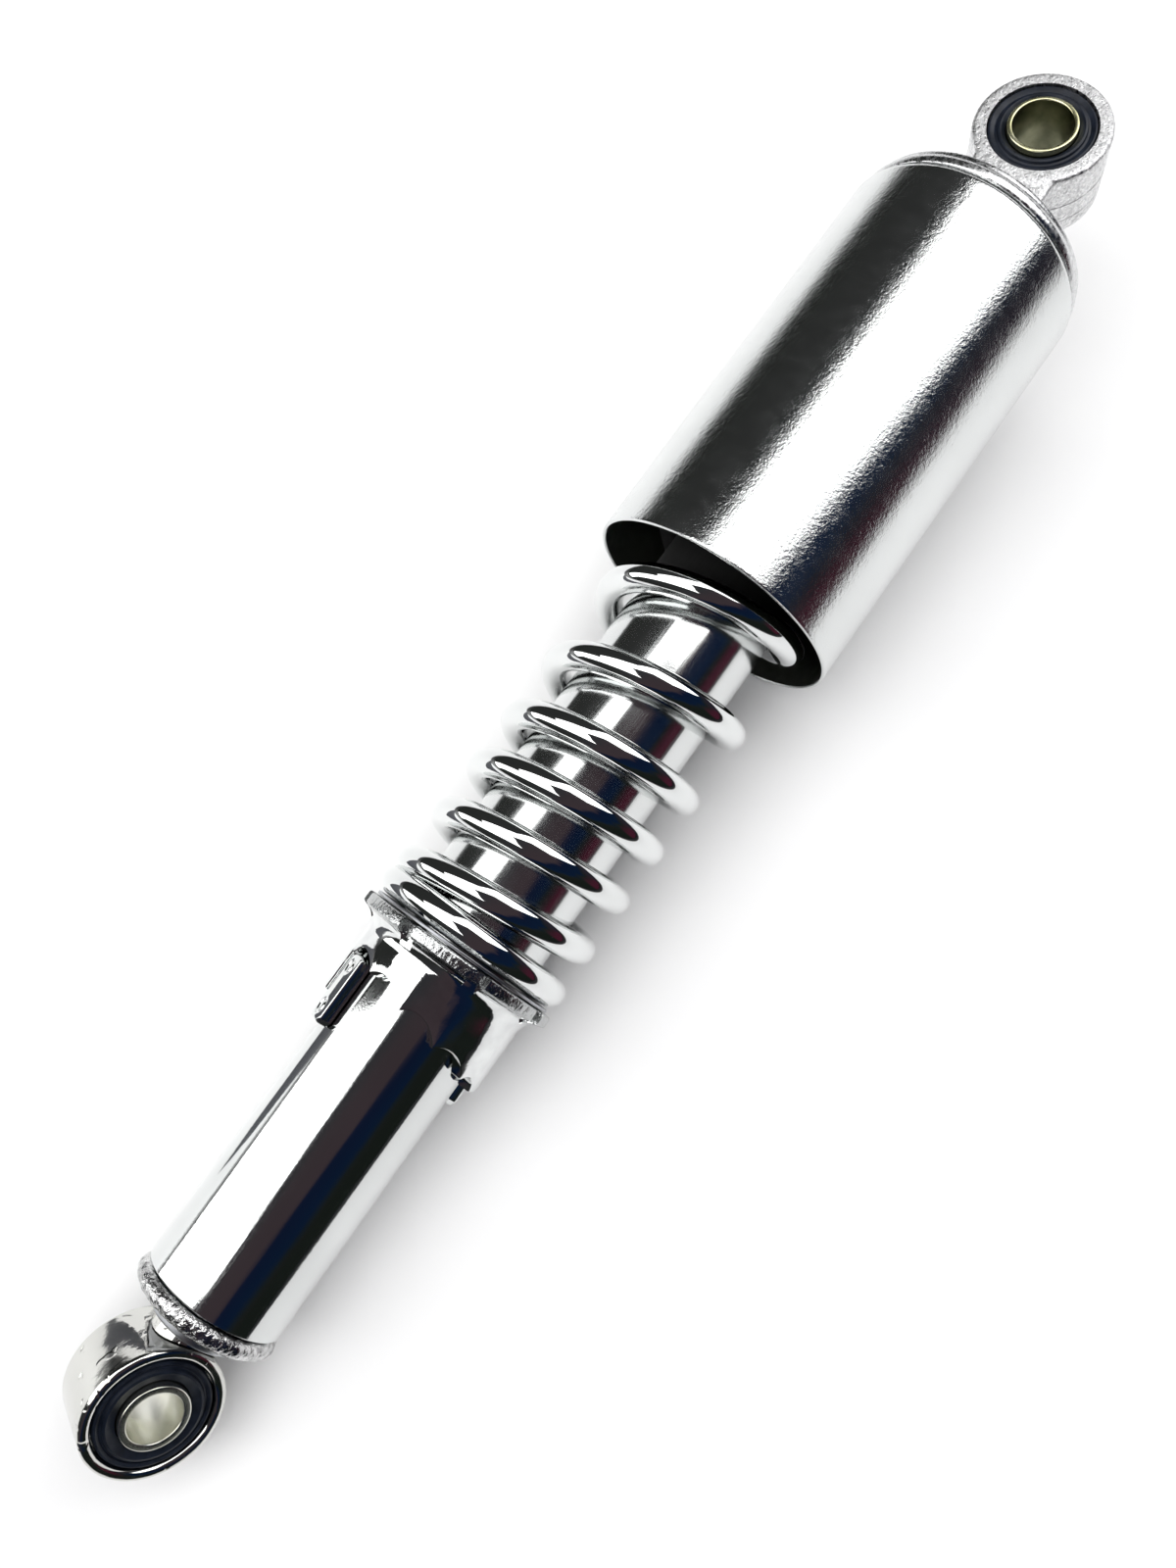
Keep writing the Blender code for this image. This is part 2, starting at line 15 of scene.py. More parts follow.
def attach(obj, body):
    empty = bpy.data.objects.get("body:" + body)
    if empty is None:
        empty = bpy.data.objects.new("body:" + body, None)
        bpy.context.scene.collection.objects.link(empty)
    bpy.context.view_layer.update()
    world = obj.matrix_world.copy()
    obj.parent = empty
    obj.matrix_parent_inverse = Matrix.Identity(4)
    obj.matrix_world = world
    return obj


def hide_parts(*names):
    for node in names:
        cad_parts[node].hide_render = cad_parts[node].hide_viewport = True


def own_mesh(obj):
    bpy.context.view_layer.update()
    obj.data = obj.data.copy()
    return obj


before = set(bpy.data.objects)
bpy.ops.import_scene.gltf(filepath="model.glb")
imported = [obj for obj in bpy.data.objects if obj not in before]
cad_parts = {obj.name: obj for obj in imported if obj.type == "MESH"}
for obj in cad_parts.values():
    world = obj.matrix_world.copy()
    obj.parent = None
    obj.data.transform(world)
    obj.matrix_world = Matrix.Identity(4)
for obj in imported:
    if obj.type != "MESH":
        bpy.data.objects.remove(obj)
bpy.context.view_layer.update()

MM = 0.001
ROLL = radians(-8.8)
LAY = Quaternion((0, 0.5**0.5, 0, 0.5**0.5)).to_matrix().to_4x4() @ Matrix.Rotation(-ROLL, 4, "Z")
LOWER_EYE_THETA = radians(34.7)
UPPER_EYE_THETA = radians(-17.9)
EYE_TO_EYE = 320 * MM
# The rest of these are in degrees and millimetres.
LUG_THETA = -63
FIRST_NOTCH = 15.3
SEAT_TOP = 101.1
UPPER_SEAT_BOTTOM = 282.1
# Each hollow of the collar's cam: where it starts and ends, as turns past a lug and heights, and its depth.
HOLLOWS = [
    ((-10.5, 88.5), (22.5, 87.8), 2.4),
    ((22.5, 87.8), (52.5, 85.6), 2.2),
    ((52.5, 85.6), (82.5, 83.4), 2.4),
    ((82.5, 83.4), (112.5, 81.2), 2.3),
    ((112.5, 81.2), (130.5, 79.9), 1.8),
]


# Materials


class Tree:
    """Short calls for the nodes of a material or of the world. A value is a node's output or a number."""

    def __init__(self, tree):
        self.tree = tree

    def add(self, kind, values=(), **settings):
        node = self.tree.nodes.new(kind)
        for key, setting in settings.items():
            setattr(node, key, setting)
        for socket, value in values:
            if isinstance(value, bpy.types.NodeSocket):
                self.tree.links.new(value, node.inputs[socket])
            else:
                node.inputs[socket].default_value = value
        return node

    def place(self):
        return self.add("ShaderNodeTexCoord").outputs["Object"]

    def along(self):
        """The distance along the shock, in metres."""
        return self.add("ShaderNodeSeparateXYZ", [(0, self.place())]).outputs[0]

    def polar(self, along, around):
        """Coordinates along the shock and round it, with their own scales, for streaks and brushing."""
        parts = self.add("ShaderNodeSeparateXYZ", [(0, self.place())]).outputs
        flat = self.add("ShaderNodeCombineXYZ", [(1, parts[1]), (2, parts[2])]).outputs[0]
        unit = self.add("ShaderNodeVectorMath", [(0, flat)], operation="NORMALIZE").outputs[0]
        wide = self.add("ShaderNodeVectorMath", [(0, unit), ("Scale", around)], operation="SCALE").outputs[0]
        lift = self.add("ShaderNodeCombineXYZ", [(0, self.math("MULTIPLY", parts[0], along))]).outputs[0]
        return self.add("ShaderNodeVectorMath", [(0, wide), (1, lift)], operation="ADD").outputs[0]

    def math(self, operation, first, second=0.0):
        return self.add("ShaderNodeMath", [(0, first), (1, second)], operation=operation).outputs[0]

    def dot(self, vector, direction):
        values = [(0, vector), (1, direction)]
        return self.add("ShaderNodeVectorMath", values, operation="DOT_PRODUCT").outputs["Value"]

    def noise(self, scale, detail=2.0, roughness=0.5, where=None):
        values = [("Vector", where or self.place()), ("Scale", scale), ("Detail", detail)]
        return self.add("ShaderNodeTexNoise", [*values, ("Roughness", roughness)]).outputs["Fac"]

    def ramp(self, value, low, high, to_low=0.0, to_high=1.0):
        limits = [("From Min", low), ("From Max", high), ("To Min", to_low), ("To Max", to_high)]
        return self.add("ShaderNodeMapRange", [("Value", value), *limits]).outputs["Result"]

    def mix(self, share, first, second):
        """A mix of two colours, of which the first may be an output."""
        node = self.add("ShaderNodeMix", data_type="RGBA")
        colours = [socket for socket in node.inputs if socket.type == "RGBA"]
        self.tree.links.new(share, node.inputs[0])
        if isinstance(first, bpy.types.NodeSocket):
            self.tree.links.new(first, colours[0])
        else:
            colours[0].default_value = (*first, 1)
        colours[1].default_value = (*second, 1)
        return [socket for socket in node.outputs if socket.type == "RGBA"][0]


class Look(Tree):
    """A material with a Principled BSDF."""

    def __init__(self, name, colour, roughness, metallic=1.0, **inputs):
        self.material = bpy.data.materials.new(name)
        self.material.use_nodes = True
        super().__init__(self.material.node_tree)
        self.shader = self.tree.nodes["Principled BSDF"]
        self.shader.inputs["Base Color"].default_value = (*colour, 1)
        self.shader.inputs["Roughness"].default_value = roughness
        self.shader.inputs["Metallic"].default_value = metallic
        for key, value in inputs.items():
            self.shader.inputs[key.replace("_", " ")].default_value = value
        self.normal = None

    def to(self, socket, output):
        self.tree.links.new(output, self.shader.inputs[socket])

    def bump(self, output, depth):
        """Adds a bump of this depth in metres on top of any earlier one."""
        node = self.add("ShaderNodeBump", [("Height", output), ("Distance", depth), ("Strength", 1.0)])
        if self.normal:
            self.tree.links.new(self.normal, node.inputs["Normal"])
        self.normal = node.outputs["Normal"]
        self.to("Normal", self.normal)


# Inside the cover the spring and the tube are dull, and dark with painted shade, from these places on, in
# metres along the shock.
SPRING_SHADE_FROM = 0.19
TUBE_SHADE_FROM = 0.187
HIDDEN_ROUGHNESS = 0.8


def chrome(name, colour=(0.80, 0.815, 0.81), roughness=0.03, wave=0.0, wave_scale=60, grain=0.0):
    """Chrome plate: the waves of the metal under it, and a fine grain that breaks up a reflection's edge."""
    m = Look(name, colour, roughness)
    m.to("Base Color", m.mix(m.ramp(m.noise(35, 3), 0.35, 0.7), colour, [c * 0.93 for c in colour]))
    m.to("Roughness", m.ramp(m.noise(90, 4), 0.4, 0.75, roughness, roughness + 0.05))
    if wave:
        m.bump(m.noise(wave_scale, 2, 0.4, m.polar(1, 0.02)), wave)
    if grain:
        m.bump(m.noise(2500, 2, 0.6), grain)
    return m


def spring_chrome():
    colour = (0.79, 0.805, 0.8)
    m = Look("spring_look", colour, 0.015)
    long = m.along()
    plate = m.mix(m.ramp(m.noise(35, 3), 0.35, 0.7), colour, [c * 0.93 for c in colour])
    # Painted shade: the wire turns near black inside the cover, where the cover shades it.
    m.to("Base Color", m.mix(m.ramp(long, SPRING_SHADE_FROM, SPRING_SHADE_FROM + 0.002), plate, (0.04, 0.04, 0.04)))
    finish = m.ramp(m.noise(90, 4), 0.4, 0.75, 0.015, 0.065)
    dull = m.ramp(long, SPRING_SHADE_FROM, SPRING_SHADE_FROM + 0.002, 0, HIDDEN_ROUGHNESS)
    m.to("Roughness", m.math("ADD", finish, dull))
    m.bump(m.noise(140, 2, 0.4, m.polar(1, 0.02)), 0.000012)
    return m


def cover_chrome():
    """Satin plate over rolled sheet: faint streaks round it, and a grain that breaks up reflections."""
    m = Look("cover_chrome_look", (0.8, 0.81, 0.8), 0.15)
    m.to("Base Color", m.mix(m.ramp(m.noise(22, 4), 0.35, 0.7), (0.74, 0.755, 0.75), (0.67, 0.685, 0.68)))
    m.to("Roughness", m.ramp(m.noise(1, 3, 0.6, m.polar(420, 7)), 0.35, 0.7, 0.12, 0.19))
    m.bump(m.noise(1, 3, 0.5, m.polar(900, 9)), 0.0000022)
    m.bump(m.noise(1100, 2, 0.7), 0.00006)
    m.bump(m.noise(2600, 2, 0.7), 0.00003)
    return m


def tube_chrome():
    """Polished below the collar, satin between the coils, and dull and dark with painted shade where it
    stays inside the cover.
    """
    m = Look("tube_chrome_look", (0.8, 0.81, 0.8), 0.08)
    long = m.along()
    plate = m.mix(m.ramp(m.noise(40, 4), 0.35, 0.7), (0.74, 0.755, 0.75), (0.67, 0.685, 0.68))
    # Painted shade: the tube turns near black inside the cover, where the cover shades it.
    m.to("Base Color", m.mix(m.ramp(long, TUBE_SHADE_FROM, TUBE_SHADE_FROM + 0.0015), plate, (0.05, 0.05, 0.05)))
    finish = m.ramp(m.noise(1, 3, 0.6, m.polar(30, 60)), 0.4, 0.7, 0.06, 0.11)
    satin = m.math("ADD", m.ramp(long, 0.098, 0.102, 0.0, 0.06), finish)
    dull = m.ramp(long, TUBE_SHADE_FROM, TUBE_SHADE_FROM + 0.0015, 0, HIDDEN_ROUGHNESS)
    m.to("Roughness", m.math("ADD", satin, dull))
    m.bump(m.noise(1, 2, 0.4, m.polar(25, 9)), 0.00003)
    m.bump(m.noise(1, 3, 0.5, m.polar(700, 14)), 0.0000012)
    m.bump(m.noise(2200, 1, 0.6), 0.000004)
    return m


def eye_chrome():
    """Plate over a plain ring, with small pits in it."""
    m = Look("eye_ring_look", (0.66, 0.66, 0.63), 0.08)
    m.to("Roughness", m.ramp(m.noise(160, 4), 0.35, 0.75, 0.05, 0.2))
    m.bump(m.ramp(m.noise(330, 1, 0.5), 0.63, 0.72, 0, 1), -0.00012)
    m.bump(m.noise(90, 2), 0.0003)
    m.bump(m.noise(900, 2), 0.00002)
    return m


def weld_look():
    m = Look("weld_look", (0.62, 0.63, 0.65), 0.16)
    m.to("Base Color", m.mix(m.ramp(m.noise(700, 3), 0.35, 0.65), (0.76, 0.76, 0.76), (0.34, 0.34, 0.34)))
    m.bump(m.noise(650, 3, 0.6), 0.00035)
    m.bump(m.noise(2600, 2), 0.00006)
    return m


def cast_look():
    """Sand-rough casting with two lines round its drum, but turned smooth on its round base."""
    m = Look("cast_look", (0.86, 0.86, 0.86), 0.36)
    long = m.along()
    rough = m.ramp(long, 0.2908, 0.2918)
    grains = m.mix(m.ramp(m.noise(1500, 3, 0.7), 0.32, 0.68), (0.46, 0.46, 0.47), (0.98, 0.98, 0.98))
    depth = m.dot(m.place(), (0, 0.158, 0.987))
    lines = []
    for level in (0.0003, -0.0046):
        lines.append(m.ramp(m.math("ABSOLUTE", m.math("SUBTRACT", depth, level)), 0.00022, 0.0001))
    broken = m.ramp(m.noise(200, 2), 0.35, 0.6, 0.3, 0.9)
    faint = m.math("MULTIPLY", m.math("MAXIMUM", *lines), broken)
    lined = m.mix(m.math("MULTIPLY", faint, m.ramp(long, 0.3, 0.303)), grains, (0.12, 0.12, 0.12))
    m.to("Base Color", m.mix(m.ramp(rough, 0, 1, 0.9, 0), lined, (0.66, 0.665, 0.67)))
    coarse = m.ramp(m.noise(1100, 3), 0.35, 0.65, 0.22, 0.5)
    m.to("Roughness", m.math("MULTIPLY", coarse, m.ramp(rough, 0, 1, 0.7, 1)))
    m.bump(m.math("MULTIPLY", m.noise(1700, 3, 0.7), m.ramp(rough, 0, 1, 0.2, 1)), 0.0002)
    m.bump(m.noise(1, 2, 0.5, m.polar(2600, 8)), 0.00001)
    m.bump(m.math("MULTIPLY", m.noise(260, 3), m.ramp(rough, 0, 1, 0.12, 1)), 0.0003)
    return m


def zinc(name, colour, roughness, scale, first, second):
    """Zinc plate, a little cloudy."""
    m = Look(name, colour, roughness)
    m.to("Base Color", m.mix(m.ramp(m.noise(scale, 3), 0.3, 0.7), first, second))
    m.bump(m.noise(1500, 2), 0.00001)
    return m


def collar_chrome():
    """Plate over a pressing: wavy, and rough on the cut faces of its flange, which are also painted darker
    as shade.
    """
    m = Look("collar_look", (0.79, 0.805, 0.8), 0.04)
    flange = m.ramp(m.along(), 0.0972, 0.0978)
    plate = m.mix(m.ramp(m.noise(260, 4), 0.35, 0.7), (0.80, 0.815, 0.81), (0.68, 0.69, 0.69))
    # Painted shade: the flange is darkened, standing in for its dark gaps and darker reflections.
    m.to("Base Color", m.mix(m.ramp(flange, 0, 1, 0, 0.7), plate, (0.36, 0.37, 0.37)))
    m.to("Roughness", m.ramp(flange, 0, 1, 0.05, 0.2))
    m.bump(m.math("MULTIPLY", m.noise(620, 3, 0.6), m.ramp(flange, 0, 1, 0.03, 1)), 0.0004)
    m.bump(m.noise(130, 2, 0.5), 0.00022)
    m.bump(m.noise(1300, 2, 0.6), 0.00001)
    return m


def rubber():
    m = Look("rubber_look", (0.012, 0.014, 0.019), 0.42, 0.0, Specular_IOR_Level=0.3)
    tone = m.ramp(m.noise(420, 4), 0.35, 0.7)
    m.to("Base Color", m.mix(tone, (0.004, 0.006, 0.011), (0.010, 0.014, 0.024)))
    m.to("Roughness", m.ramp(m.noise(260, 3), 0.35, 0.7, 0.34, 0.52))
    m.bump(m.noise(1900, 3), 0.00002)
    return m


def black_paint():
    m = Look("inner_paint_look", (0.016, 0.018, 0.014), 0.45, 0.0)
    m.to("Roughness", m.ramp(m.noise(220, 3), 0.35, 0.7, 0.3, 0.55))
    m.bump(m.noise(700, 3), 0.00004)
    return m


def machined_steel():
    m = Look("machined_steel_look", (0.42, 0.43, 0.45), 0.34)
    m.to("Base Color", m.mix(m.ramp(m.noise(120, 3), 0.3, 0.7), (0.36, 0.37, 0.39), (0.5, 0.51, 0.53)))
    m.bump(m.noise(1, 2, 0.5, m.polar(2400, 6)), 0.000004)
    return m


def bronze():
    m = Look("bronze_look", (0.55, 0.38, 0.2), 0.34)
    m.to("Base Color", m.mix(m.ramp(m.noise(700, 3), 0.3, 0.7), (0.46, 0.31, 0.16), (0.62, 0.44, 0.25)))
    return m


LOOKS = {
    "cover": cover_chrome(),
    "tube": tube_chrome(),
    "spring": spring_chrome(),
    "collar": collar_chrome(),
    "cap": chrome("cap_look", roughness=0.04, wave=0.00005, wave_scale=120),
    "rod": chrome("rod_look", roughness=0.06, grain=0.000001),
    "eye": eye_chrome(),
    "weld": weld_look(),
    "cast": cast_look(),
    "gold": zinc("gold_zinc_look", (0.72, 0.66, 0.36), 0.24, 170, (0.68, 0.66, 0.36), (0.84, 0.83, 0.60)),
    # The bore's darker zinc is painted shade, for the shaded inside of the upper sleeve.
    "bore": zinc("painted_shade_bore_zinc_look", (0.2, 0.2, 0.12), 0.3, 260, (0.13, 0.135, 0.08), (0.26, 0.26, 0.17)),
    "zinc": zinc("pale_zinc_look", (0.68, 0.68, 0.62), 0.27, 150, (0.66, 0.66, 0.55), (0.85, 0.85, 0.8)),
    "rubber": rubber(),
    "paint": black_paint(),
    "steel": machined_steel(),
    "bronze": bronze(),
}


# Meshes


def linked(name, data):
    obj = bpy.data.objects.new(name, data)
    bpy.context.scene.collection.objects.link(obj)
    return obj


def piece(name, mesh, body, looks, nodes, place=None, sharp=35):
    """A finished piece: its mesh, laid in the row frame and smoothed, rides on a body for its CAD nodes."""
    mesh.transform(LAY @ place if place else LAY)
    for look in looks:
        mesh.materials.append(LOOKS[look].material)
    mesh.shade_smooth()
    mesh.set_sharp_from_angle(angle=radians(sharp))
    obj = linked(name, mesh)
    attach(obj, body)
    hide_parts(*nodes)
    return obj


def from_bmesh(name, shape):
    bmesh.ops.recalc_face_normals(shape, faces=shape.faces)
    mesh = bpy.data.meshes.new(name)
    shape.to_mesh(mesh)
    shape.free()
    return mesh


def from_points(name, points, faces, marks=(), merge=False):
    """A mesh with its faces turned outwards. marks are the faces' numbers in the piece's looks."""
    mesh = bpy.data.meshes.new(name)
    mesh.from_pydata(points, [], faces)
    for polygon, mark in zip(mesh.polygons, marks):
        polygon.material_index = mark
    shape = bmesh.new()
    shape.from_mesh(mesh)
    if merge:
        bmesh.ops.remove_doubles(shape, verts=shape.verts, dist=1e-7)
    bpy.data.meshes.remove(mesh)
    return from_bmesh(name, shape)


def swept(name, angles, section, painted=()):
    """A mesh swept round z through sections that may differ. painted are the section's edges with look 1."""
    points = []
    for theta in angles:
        points += [(radius * cos(theta), radius * sin(theta), z) for radius, z in section(theta)]
    count = len(section(angles[0]))
    faces = []
    marks = []
    for row in range(len(angles)):
        a, b = row * count, (row + 1) % len(angles) * count
        for i in range(count):
            j = (i + 1) % count
            faces.append([a + i, a + j, b + j, b + i])
            marks.append(1 if i in painted else 0)
    return from_points(name, points, faces, marks, merge=True)


def ring_angles(count):
    return [2 * pi * i / count for i in range(count)]


def turned(name, profile, count=144, painted=()):
    return swept(name, ring_angles(count), lambda theta: profile, painted=painted)


def arc(centre, radius, start, end, steps):
    angles = [radians(start + (end - start) * i / steps) for i in range(steps + 1)]
    return [(centre[0] + radius * cos(a), centre[1] + radius * sin(a)) for a in angles]


def rounded_ring(inner, outer, low, high, edge, steps=4):
    """A ring's section with rounded edges, in mm."""
    profile = arc((outer - edge, high - edge), edge, 90, 0, steps)
    profile += arc((outer - edge, low + edge), edge, 0, -90, steps)
    profile += arc((inner + edge, low + edge), edge, 270, 180, steps)
    profile += arc((inner + edge, high - edge), edge, 180, 90, steps)
    return in_mm(profile)


def in_mm(points):
    return [(radius * MM, z * MM) for radius, z in points]


def across(theta, z):
    """Places a turned shape in an eye: its axis lies across the shock, at this angle and height."""
    turn = Matrix.Rotation(theta, 4, "Z") @ Matrix.Rotation(pi / 2, 4, "Y")
    return Matrix.Translation((0, 0, z)) @ turn


# Lower end


def bush_profile(outer, inner, half, ridge, dish):
    """A moulded bush: a rounded outer lip, a dished face, and a raised ring near the sleeve."""
    face = [(outer, half - 0.5), (outer - 0.15, half - 0.15), (outer - 0.5, half)]
    face += [(outer - 1.0, half - dish * 0.6), (ridge + 0.9, half - dish)]
    face += [(ridge + 0.45, half - dish + 0.15)]
    face += [(ridge + 0.2, half + 0.15), (ridge - 0.25, half + 0.3), (ridge - 0.65, half + 0.1)]
    face += [(inner + 0.3, half - dish * 0.8), (inner, half - dish)]
    back = [(radius, -z) for radius, z in reversed(face)]
    return in_mm([*face[::-1], *back[::-1]])


def make_lower_eye():
    eye = across(LOWER_EYE_THETA, 0)
    body = "damper_body"
    mesh = turned("lower_eye_ring_piece", rounded_ring(11.1, 13.4, -7.5, 7.5, 1.1, 7), 180)
    piece("lower_eye_ring_piece", mesh, body, ["eye"], ["lower_eye_ring"], eye)
    mesh = turned("lower_bush_rubber_piece", bush_profile(10.8, 6.9, 7.1, 8.9, 0.5))
    piece("lower_bush_rubber_piece", mesh, body, ["rubber"], ["lower_bush_rubber"], eye)
    profile = rounded_ring(5.1, 6.6, -8.2, 8.2, 0.35)
    mesh = turned("lower_bush_sleeve_piece", profile, 120)
    piece("lower_bush_sleeve_piece", mesh, body, ["zinc"], ["lower_bush_sleeve"], eye)


def wobble(theta, z, size):
    """A repeatable unevenness, for weld beads."""
    value = sin(theta * 23 + z * 900) * 0.5 + sin(theta * 41 + 1.7 + z * 2100) * 0.35
    value += sin(theta * 67 + 0.6 - z * 3300) * 0.3 + sin(theta * 9 + 2.2) * 0.3
    return size * value


def make_bottom():
    body = "damper_body"
    profile = [(0, 24), (12.3, 24), (12.3, 17.6), (11.8, 17.1), (10.0, 16.9), (9.4, 16.3)]
    profile = in_mm([*profile, (9.2, 14.8), *arc((8.7, 14.8), 0.5, 0, -90, 4), (0, 14.3)])
    mesh = turned("bottom_cap_piece", profile)
    # The cap takes the dark steel look as painted shade, for the shadow between the weld bead and the eye
    # ring.
    piece("bottom_cap_piece", mesh, body, ["steel"], ["bottom_cap"])

    def bead(theta):
        points = [(12.65, 21.2), (13.4, 21.25)]
        for i in range(15):
            a = radians(86 - 172 * i / 14)
            radius = 13.1 + 2.15 * cos(a)
            z = 19.15 + 2.05 * sin(a)
            bulge = wobble(theta, z * MM, 0.16) * cos(a)
            points.append((radius + bulge, z + wobble(theta + 1, z * MM, 0.05)))
        points += [(12.65, 17.15)]
        return in_mm(points)

    mesh = swept("end_weld_piece", ring_angles(720), bead)
    piece("end_weld_piece", mesh, body, ["weld"], ["end_weld"], sharp=80)
    profile = rounded_ring(13.6, 14.8, 21.6, 204, 0.3)
    mesh = turned("body_tube_piece", profile, 192)
    piece("body_tube_piece", mesh, body, ["tube"], ["body_tube"])


def make_lugs():
    """The lugs, with two pressed spot marks each on their outer faces."""
    outer, inner, edge_radius = 17.8, 15.1, 0.6
    half_width, half_angle = 2.7, 8.7
    columns, rows = 44, 60
    for side in (0, 1):
        centre = LUG_THETA + 180 * side
        points = []
        for i in range(columns + 1):
            turn = -1 + 2 * i / columns
            top = 89.1 - 0.75 * abs(turn - 0.1) ** 2.5
            bottom = 74.2 + 1.2 * max(0, abs(turn) - 0.6) / 0.4
            for j in range(rows + 1):
                z = bottom + (top - bottom) * j / rows
                edge = min((1 - abs(turn)) * half_width, z - bottom, top - z)
                short = max(0, edge_radius - edge)
                drop = edge_radius - (edge_radius**2 - short**2) ** 0.5 if short else 0
                dent = 0
                for middle in (86.1, 77.3):
                    reach = ((turn * half_width / 1.05) ** 2 + ((z - middle) / 1.25) ** 2) ** 0.5
                    dent += 0.28 * max(0, 1 - abs(reach - 1) / 0.35)
                theta = radians(centre + half_angle * turn)
                points.append((outer - drop - dent, theta, z))
        base = len(points)
        points += [(inner, theta, z) for radius, theta, z in points]
        count = rows + 1
        faces = []
        for i in range(columns):
            for j in range(rows):
                a = i * count + j
                faces.append((a, a + 1, a + count + 1, a + count))
                faces.append((base + a, base + a + count, base + a + count + 1, base + a + 1))
        for j in range(rows):
            faces.append((j, base + j, base + j + 1, j + 1))
            a = columns * count + j
            faces.append((a, a + 1, base + a + 1, base + a))
        for i in range(columns):
            for j in (0, rows):
                a = i * count + j
                faces.append((a, a + count, base + a + count, base + a))
        node = f"cam_lug_{'ab'[side]}"
        points = [(r * MM * cos(t), r * MM * sin(t), z * MM) for r, t, z in points]
        mesh = from_points(f"{node}_piece", points, faces)
        piece(f"{node}_piece", mesh, "damper_body", ["cap"], [node], sharp=50)


# Preload collar


def cam_edge(turn):
    """The height of the collar's lower edge at this turn past a lug."""
    turn = (turn + 30) % 180 - 30
    for (start, low), (end, high), rise in HOLLOWS:
        if start <= turn <= end:
            share = (turn - start) / (end - start)
            return low + (high - low) * share + rise * (1 - abs(2 * share - 1) ** 2.2)
    return 79.9


def collar_turns():
    """Section angles in degrees past a lug, closer together at each step of the edge and of the flange."""
    turns = {round(i * 0.8, 4) for i in range(225)}
    turns |= {-10.5 % 180, -10.55 % 180, 130.5, 130.55}
    for k in range(4):
        notch = (FIRST_NOTCH + 45 * k - LUG_THETA) % 180
        for offset in (-4.5, -4.4, 4.4, 4.5):
            turns.add((notch + offset) % 180)
    for i in range(40):
        turns.add(round((-10.5 + i * 0.1) % 180, 4))
    turns = sorted(turns)
    return [turn + half for half in (0, 180) for turn in turns]


def flange_radius(turn):
    """The flange's radius here: less in each of its eight notches."""
    offset = (turn + LUG_THETA - FIRST_NOTCH + 22.5) % 45 - 22.5
    return 19.25 if abs(offset) < 4.45 else 22.1


def make_collar():
    def section(theta):
        turn = degrees(theta) - LUG_THETA
        edge = cam_edge(turn)
        rim = flange_radius(turn)
        points = arc((rim - 0.45, 99.75), 0.45, 90, 0, 3)
        points += arc((rim - 0.35, 98.15), 0.35, 0, -90, 2)
        flare = arc((22.0, 93.9), 3.75, 100, 180, 7)
        points += [(min(radius, rim - 0.35), z) for radius, z in flare]
        points += [(18.3, 92.2), (18.3, edge + 0.55), (18.22, edge + 0.2), (17.9, edge)]
        points += [(15.6, edge), (15.3, edge + 0.1), (15.2, edge + 0.4)]
        points += [(15.2, 96), (15.2, 99.8), (15.6, 100.2)]
        return in_mm(points)

    angles = [radians(turn + LUG_THETA) for turn in collar_turns()]
    mesh = swept("preload_collar_piece", angles, section)
    piece("preload_collar_piece", mesh, "collar", ["collar"], ["preload_collar"], sharp=32)
    mesh = turned("lower_spring_seat_piece", rounded_ring(15.2, 20.6, 100.5, 101.1, 0.15))
    piece("lower_spring_seat_piece", mesh, "lower_seat", ["steel"], ["lower_spring_seat"])


# Spring


def spring_pitch(turn, end, open_pitch):
    """The rise in one turn of wire: none on the seats, 12.1 mm below and open_pitch above."""
    if turn < 0.4 or turn > end - 0.4:
        return 0.0
    share = min(1, max(0, (turn - 4.0) / (6.9 - 4.0)))
    pitch = 12.1 + (open_pitch - 12.1) * share
    return pitch * min(1, (turn - 0.4) / 0.45, (end - 0.4 - turn) / 0.45)


def make_spring():
    start, turns, wire, coil = -0.42, 10.9, 3.1, 19.0
    bottom = SEAT_TOP + 0.3 + wire
    top = UPPER_SEAT_BOTTOM - wire
    end = start + turns
    count = round(turns * 84)
    step = turns / count
    middles = [start + (i + 0.5) * step for i in range(count)]
    fixed = sum(spring_pitch(t, end, 0) for t in middles) * step
    gain = sum(spring_pitch(t, end, 1) for t in middles) * step - fixed
    open_pitch = (top - bottom - fixed) / gain
    sides = 40
    points = []
    z = bottom
    for i in range(count + 1):
        turn = start + i * step
        theta = 2 * pi * turn - pi / 2
        rise = spring_pitch(turn, end, open_pitch) / (2 * pi)
        out = Vector((cos(theta), sin(theta), 0))
        ahead = Vector((-coil * sin(theta), coil * cos(theta), rise)).normalized()
        over = ahead.cross(out)
        place = Vector((coil * cos(theta), coil * sin(theta), z))
        for k in range(sides):
            a = 2 * pi * k / sides
            points.append((place + (out * cos(a) + over * sin(a)) * wire) * MM)
        if i < count:
            z += spring_pitch(middles[i], end, open_pitch) * step
    # The wire is parted inside the cover: its top stays on the upper seat when the collar lifts the rest.
    parting = round(7.5 * 84)
    for name, first, last, body, anchor in (
        ("main_spring_piece", 0, parting, "lower_seat", SEAT_TOP),
        ("main_spring_top_piece", parting, count, "upper_seat", UPPER_SEAT_BOTTOM),
    ):
        faces = [[*range(sides)], [(last - first) * sides + k for k in range(sides)][::-1]]
        for i in range(last - first):
            for k in range(sides):
                j = (k + 1) % sides
                faces.append((i * sides + k, (i + 1) * sides + k, (i + 1) * sides + j, i * sides + j))
        mesh = from_points(name, points[first * sides : (last + 1) * sides], faces)
        spring = piece(name, mesh, body, ["spring"], ["main_spring"], sharp=60)
        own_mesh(spring)


# Upper end


